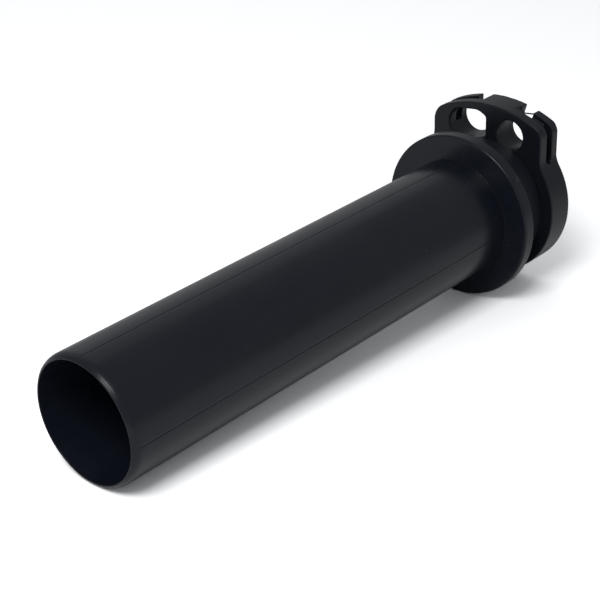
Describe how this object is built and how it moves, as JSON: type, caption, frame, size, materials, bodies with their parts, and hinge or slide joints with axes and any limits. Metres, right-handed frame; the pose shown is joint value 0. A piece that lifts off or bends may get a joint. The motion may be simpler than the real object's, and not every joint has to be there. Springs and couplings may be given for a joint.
{
  "type": "throttle grip",
  "caption": "Moulded plastic throttle tube for a motorcycle twist grip: a plain sleeve with a round flange and a keyed cable cam whose ear holds two cable ends.",
  "frame": {"origin": "on the axis of the handlebar bore, at the inboard face of the cable cam", "axes": "+X along the handlebar axis towards the inboard end, +Z towards the side that the cam's ear stands on, +Y completing the right-handed set"},
  "size_m": [0.1232, 0.036, 0.0397],
  "materials": {
    "moulded_plastic_tube": "satin black moulded plastic",
    "moulded_plastic_cam": "satin black moulded plastic"
  },
  "bodies": {
    "root": {"throttle_tube": "moulded_plastic_tube", "cable_cam": "moulded_plastic_cam"}
  },
  "joints": []
}
